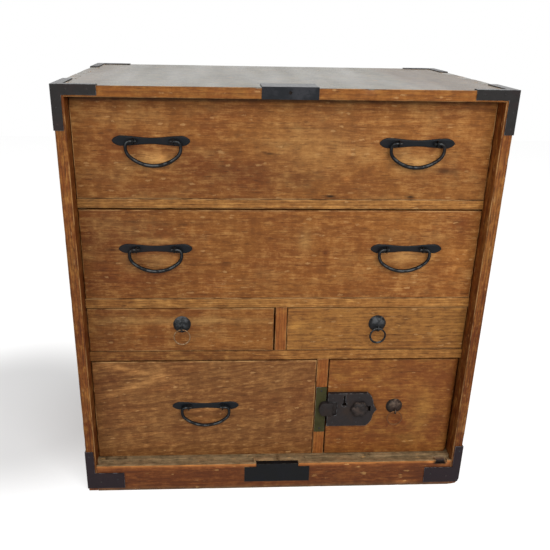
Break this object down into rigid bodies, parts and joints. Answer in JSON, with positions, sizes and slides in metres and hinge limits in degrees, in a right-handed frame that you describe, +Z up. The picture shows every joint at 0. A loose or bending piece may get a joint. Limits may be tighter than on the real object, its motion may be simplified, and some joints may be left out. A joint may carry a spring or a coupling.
{
  "type": "small tansu chest",
  "caption": "Small wooden tansu chest with wide drawers, two small drawers, a locking door, bail handles, ring pulls and iron corner straps.",
  "frame": {"origin": "middle of the footprint, at the underside of the case", "axes": "+X to the right as seen from the front, +Y from the drawer fronts towards the back, +Z up"},
  "size_m": [0.5474, 0.3624, 0.5637],
  "materials": {
    "case_wood": "oiled and worn, satin",
    "front_wood": "oiled cedar, satin, with dents and pale streaks",
    "rail_wood": "oiled, straight grain, satin",
    "base_wood": "dark, rubbed, with scratches and chips",
    "inner_wood": "bare, matt",
    "handle_iron": "blackened, half gloss",
    "boss_iron": "grey-brown, rubbed",
    "lock_iron": "brown-black, matt",
    "strike_iron": "olive-brown, matt",
    "strap_iron": "blackened, matt"
  },
  "bodies": {
    "case": {"back_boards": "inner_wood", "base_centre_plate": "strap_iron", "base_front_rail": "base_wood", "bottom_board": "inner_wood", "corner_irons_base": "strap_iron", "corner_irons_top": "strap_iron", "partition_lower": "rail_wood", "partition_small": "rail_wood", "rail_lower": "rail_wood", "rail_middle": "rail_wood", "rail_upper": "rail_wood", "shelf_lower": "inner_wood", "shelf_middle": "inner_wood", "shelf_upper": "inner_wood", "side_left": "case_wood", "side_right": "case_wood", "strike_plate": "strike_iron", "top_board": "case_wood", "top_centre_plate": "strap_iron"},
    "drawer_upper": {"drawer_upper_front": "front_wood", "drawer_upper_sides": "inner_wood", "drawer_upper_back": "inner_wood", "drawer_upper_bottom": "inner_wood", "handle_plates_upper": "handle_iron", "handle_eyes_upper": "handle_iron"},
    "drawer_middle": {"drawer_middle_front": "front_wood", "drawer_middle_sides": "inner_wood", "drawer_middle_back": "inner_wood", "drawer_middle_bottom": "inner_wood", "handle_plates_middle": "handle_iron", "handle_eyes_middle": "handle_iron"},
    "drawer_small_left": {"drawer_small_left_front": "front_wood", "drawer_small_left_sides": "inner_wood", "drawer_small_left_back": "inner_wood", "drawer_small_left_bottom": "inner_wood", "ring_boss_small_left": "boss_iron"},
    "drawer_small_right": {"drawer_small_right_front": "front_wood", "drawer_small_right_sides": "inner_wood", "drawer_small_right_back": "inner_wood", "drawer_small_right_bottom": "inner_wood", "ring_boss_small_right": "boss_iron"},
    "drawer_lower": {"drawer_lower_front": "front_wood", "drawer_lower_sides": "inner_wood", "drawer_lower_back": "inner_wood", "drawer_lower_bottom": "inner_wood", "handle_plates_lower": "handle_iron", "handle_eyes_lower": "handle_iron"},
    "door": {"door_panel": "front_wood", "door_pivots": "inner_wood", "lock_case": "lock_iron", "ring_boss_door": "boss_iron"},
    "lock_bolt": {"lock_bolt": "lock_iron"},
    "bail_upper_left": {"bail_upper_left": "handle_iron"},
    "bail_upper_right": {"bail_upper_right": "handle_iron"},
    "bail_middle_left": {"bail_middle_left": "handle_iron"},
    "bail_middle_right": {"bail_middle_right": "handle_iron"},
    "bail_lower": {"bail_lower": "handle_iron"},
    "ring_small_left": {"ring_small_left": "handle_iron"},
    "ring_small_right": {"ring_small_right": "handle_iron"},
    "ring_door": {"ring_door": "handle_iron"}
  },
  "joints": [
    {"name": "drawer_upper_slide", "type": "slide", "parent": "case", "child": "drawer_upper", "axis": [0, -1, 0], "range_m": [0, 0.25]},
    {"name": "drawer_middle_slide", "type": "slide", "parent": "case", "child": "drawer_middle", "axis": [0, -1, 0], "range_m": [0, 0.25]},
    {"name": "drawer_small_left_slide", "type": "slide", "parent": "case", "child": "drawer_small_left", "axis": [0, -1, 0], "range_m": [0, 0.25]},
    {"name": "drawer_small_right_slide", "type": "slide", "parent": "case", "child": "drawer_small_right", "axis": [0, -1, 0], "range_m": [0, 0.25]},
    {"name": "drawer_lower_slide", "type": "slide", "parent": "case", "child": "drawer_lower", "axis": [0, -1, 0], "range_m": [0, 0.25]},
    {"name": "door_swing", "type": "hinge", "parent": "case", "child": "door", "pos_m": [0.2505, -0.1484, 0.1211], "axis": [0, 0, 1], "range_deg": [0, 90]},
    {"name": "lock_bolt_slide", "type": "slide", "parent": "door", "child": "lock_bolt", "axis": [1, 0, 0], "range_m": [0, 0.013]},
    {"name": "bail_upper_left_swing", "type": "hinge", "parent": "drawer_upper", "child": "bail_upper_left", "pos_m": [-0.1611, -0.1624, 0.49715], "axis": [-1, 0, 0], "range_deg": [-6, 186]},
    {"name": "bail_upper_right_swing", "type": "hinge", "parent": "drawer_upper", "child": "bail_upper_right", "pos_m": [0.1635, -0.1624, 0.49715], "axis": [-1, 0, 0], "range_deg": [-6, 186]},
    {"name": "bail_middle_left_swing", "type": "hinge", "parent": "drawer_middle", "child": "bail_middle_left", "pos_m": [-0.1635, -0.1624, 0.36105], "axis": [-1, 0, 0], "range_deg": [-6, 186]},
    {"name": "bail_middle_right_swing", "type": "hinge", "parent": "drawer_middle", "child": "bail_middle_right", "pos_m": [0.1607, -0.1624, 0.36105], "axis": [-1, 0, 0], "range_deg": [-6, 186]},
    {"name": "bail_lower_swing", "type": "hinge", "parent": "drawer_lower", "child": "bail_lower", "pos_m": [-0.10205, -0.1624, 0.1273], "axis": [-1, 0, 0], "range_deg": [-6, 186]},
    {"name": "ring_small_left_swing", "type": "hinge", "parent": "drawer_small_left", "child": "ring_small_left", "pos_m": [-0.13243, -0.1658, 0.2497], "axis": [-1, 0, 0], "range_deg": [-12, 180]},
    {"name": "ring_small_right_swing", "type": "hinge", "parent": "drawer_small_right", "child": "ring_small_right", "pos_m": [0.13443, -0.1658, 0.2497], "axis": [-1, 0, 0], "range_deg": [-12, 180]},
    {"name": "ring_door_swing", "type": "hinge", "parent": "door", "child": "ring_door", "pos_m": [0.17055, -0.1658, 0.1184], "axis": [-1, 0, 0], "range_deg": [-12, 180]}
  ]
}
